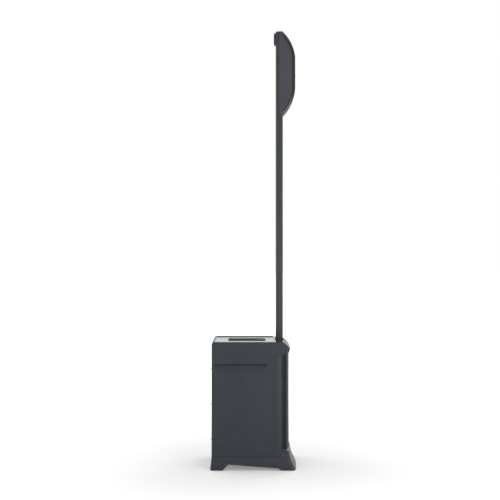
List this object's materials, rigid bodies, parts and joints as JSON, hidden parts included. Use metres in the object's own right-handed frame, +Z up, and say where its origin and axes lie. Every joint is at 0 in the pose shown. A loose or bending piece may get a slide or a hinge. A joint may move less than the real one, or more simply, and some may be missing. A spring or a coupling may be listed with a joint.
{
  "type": "portable column loudspeaker",
  "caption": "Portable column loudspeaker: a bass cabinet with a carry handle and rear mixer panel, a slim plug-in column and a D-shaped line-array head.",
  "frame": {"origin": "on the floor, at the centre of the bounding box's base", "axes": "+Z up, -Y towards the front grille, X across the width"},
  "size_m": [0.3706, 0.4367, 2.229],
  "materials": {
    "cabinet_plastic": "fine spark-eroded texture, dark grey",
    "plinth_plastic": "fine texture, dark grey",
    "grille_steel": "perforated steel sheet, black powder coat",
    "acoustic_foam": "open-cell foam",
    "foot_rubber": "moulded rubber",
    "baffle_board": "painted board",
    "cast_basket": "black-coated die casting",
    "magnet_steel": "ferrite ring between plated steel plates",
    "paper_cone": "pressed pulp with a sealed surface",
    "rubber_roll": "butyl half roll",
    "spider_cloth": "corrugated resin-dipped cloth",
    "port_plastic": "smooth moulded tube",
    "handle_plastic": "glass-filled plastic",
    "grip_rubber": "soft-touch rubber",
    "socket_plastic": "smooth black plastic",
    "contact_brass": "plated contact",
    "column_coat": "satin powder coat, dark grey",
    "array_plastic": "fine texture, dark grey",
    "array_grille_steel": "perforated steel sheet, semi-gloss black",
    "driver_steel": "pressed steel",
    "driver_magnet": "ferrite",
    "panel_steel": "black powder coat",
    "knob_plastic": "moulded, with a pale pointer",
    "master_plastic": "moulded, mid grey",
    "button_plastic": "smooth grey",
    "socket_black": "smooth black",
    "tab_metal": "pressed",
    "jack_metal": "nickel plated",
    "lens_clear": "translucent lens",
    "sink_aluminium": "black anodised",
    "board_green": "fibreglass board",
    "amp_metal": "bare metal",
    "wire_red": "insulated lead",
    "screw_steel": "black zinc"
  },
  "bodies": {
    "cabinet": {"cabinet_screws": "screw_steel", "cabinet_shell": "cabinet_plastic", "column_socket": "socket_plastic", "control_panel": "panel_steel", "front_baffle": "baffle_board", "front_grille": "grille_steel", "grille_foam": "acoustic_foam", "handle_bar": "handle_plastic", "handle_grip": "grip_rubber", "heat_sink": "sink_aluminium", "indicator_lenses": "lens_clear", "input_sockets": "socket_black", "internal_wiring": "wire_red", "line_jacks": "jack_metal", "mixer_board": "board_green", "panel_bezel": "socket_plastic", "plinth": "plinth_plastic", "port_tubes": "port_plastic", "power_amplifier": "amp_metal", "power_inlet": "socket_black", "rocker_frame": "socket_black", "rubber_feet": "foot_rubber", "socket_contacts": "contact_brass", "socket_gasket": "foot_rubber", "top_cap": "cabinet_plastic", "woofer_basket": "cast_basket", "woofer_magnet": "magnet_steel", "woofer_spider": "spider_cloth", "woofer_surround": "rubber_roll"},
    "lower_column": {"lower_spacer": "column_coat", "lower_spigot": "socket_plastic", "lower_socket": "socket_plastic"},
    "upper_column": {"upper_spacer": "column_coat", "upper_spigot": "socket_plastic", "upper_socket": "socket_plastic"},
    "array_head": {"array_spine": "column_coat", "array_housing": "array_plastic", "array_grille": "array_grille_steel", "array_baffle": "baffle_board", "array_catch": "array_plastic", "array_spigot": "socket_plastic", "driver_frames": "driver_steel", "driver_magnets": "driver_magnet", "driver_surrounds": "rubber_roll"},
    "array_cones": {"driver_cones": "paper_cone"},
    "woofer_motion": {"woofer_cone": "paper_cone"},
    "level_knob_1_body": {"level_knob_1": "knob_plastic"},
    "level_knob_2_body": {"level_knob_2": "knob_plastic"},
    "level_knob_3_body": {"level_knob_3": "knob_plastic"},
    "master_knob_body": {"master_knob": "master_plastic"},
    "tone_knob_1_body": {"tone_knob_1": "knob_plastic"},
    "tone_knob_2_body": {"tone_knob_2": "knob_plastic"},
    "tone_knob_3_body": {"tone_knob_3": "knob_plastic"},
    "mode_button_body": {"mode_button": "button_plastic"},
    "pair_button_body": {"pair_button": "button_plastic"},
    "socket_tab_1_body": {"socket_tab_1": "tab_metal"},
    "socket_tab_2_body": {"socket_tab_2": "tab_metal"},
    "socket_tab_3_body": {"socket_tab_3": "tab_metal"},
    "power_rocker_body": {"power_rocker": "socket_black"}
  },
  "joints": [
    {"name": "lower_column_lift", "type": "slide", "parent": "cabinet", "child": "lower_column", "axis": [0, 0, 1], "range_m": [0, 0.06]},
    {"name": "upper_column_lift", "type": "slide", "parent": "lower_column", "child": "upper_column", "axis": [0, 0, 1], "range_m": [0, 0.06]},
    {"name": "array_lift", "type": "slide", "parent": "upper_column", "child": "array_head", "axis": [0, 0, 1], "range_m": [0, 0.06]},
    {"name": "woofer_stroke", "type": "slide", "parent": "cabinet", "child": "woofer_motion", "axis": [0, -1, 0], "range_m": [-0.006, 0.006], "stiffness_N_per_m": 2500, "deforming": ["woofer_surround", "woofer_spider"]},
    {"name": "array_cone_stroke", "type": "slide", "parent": "array_head", "child": "array_cones", "axis": [0, -1, 0], "range_m": [-0.001, 0.001], "stiffness_N_per_m": 1500, "deforming": ["driver_surrounds"]},
    {"name": "level_knob_1_turn", "type": "hinge", "parent": "cabinet", "child": "level_knob_1_body", "pos_m": [-0.075, 0.191, 0.414], "axis": [0, 1, 0], "range_deg": [-150, 150]},
    {"name": "tone_knob_1_turn", "type": "hinge", "parent": "cabinet", "child": "tone_knob_1_body", "pos_m": [-0.075, 0.191, 0.376], "axis": [0, 1, 0], "range_deg": [-150, 150]},
    {"name": "level_knob_2_turn", "type": "hinge", "parent": "cabinet", "child": "level_knob_2_body", "pos_m": [-0.025, 0.191, 0.414], "axis": [0, 1, 0], "range_deg": [-150, 150]},
    {"name": "tone_knob_2_turn", "type": "hinge", "parent": "cabinet", "child": "tone_knob_2_body", "pos_m": [-0.025, 0.191, 0.376], "axis": [0, 1, 0], "range_deg": [-150, 150]},
    {"name": "level_knob_3_turn", "type": "hinge", "parent": "cabinet", "child": "level_knob_3_body", "pos_m": [0.025, 0.191, 0.414], "axis": [0, 1, 0], "range_deg": [-150, 150]},
    {"name": "tone_knob_3_turn", "type": "hinge", "parent": "cabinet", "child": "tone_knob_3_body", "pos_m": [0.025, 0.191, 0.376], "axis": [0, 1, 0], "range_deg": [-150, 150]},
    {"name": "master_knob_turn", "type": "hinge", "parent": "cabinet", "child": "master_knob_body", "pos_m": [0.075, 0.191, 0.395], "axis": [0, 1, 0], "range_deg": [-150, 150]},
    {"name": "mode_button_press", "type": "slide", "parent": "cabinet", "child": "mode_button_body", "axis": [0, -1, 0], "range_m": [0, 0.0025], "stiffness_N_per_m": 400},
    {"name": "pair_button_press", "type": "slide", "parent": "cabinet", "child": "pair_button_body", "axis": [0, -1, 0], "range_m": [0, 0.0025], "stiffness_N_per_m": 400},
    {"name": "socket_tab_1_press", "type": "slide", "parent": "cabinet", "child": "socket_tab_1_body", "axis": [0, -1, 0], "range_m": [0, 0.0015], "stiffness_N_per_m": 500},
    {"name": "socket_tab_2_press", "type": "slide", "parent": "cabinet", "child": "socket_tab_2_body", "axis": [0, -1, 0], "range_m": [0, 0.0015], "stiffness_N_per_m": 500},
    {"name": "socket_tab_3_press", "type": "slide", "parent": "cabinet", "child": "socket_tab_3_body", "axis": [0, -1, 0], "range_m": [0, 0.0015], "stiffness_N_per_m": 500},
    {"name": "power_rocker_tilt", "type": "hinge", "parent": "cabinet", "child": "power_rocker_body", "pos_m": [0.062, 0.188, 0.204], "axis": [1, 0, 0], "range_deg": [-18, 0]}
  ]
}
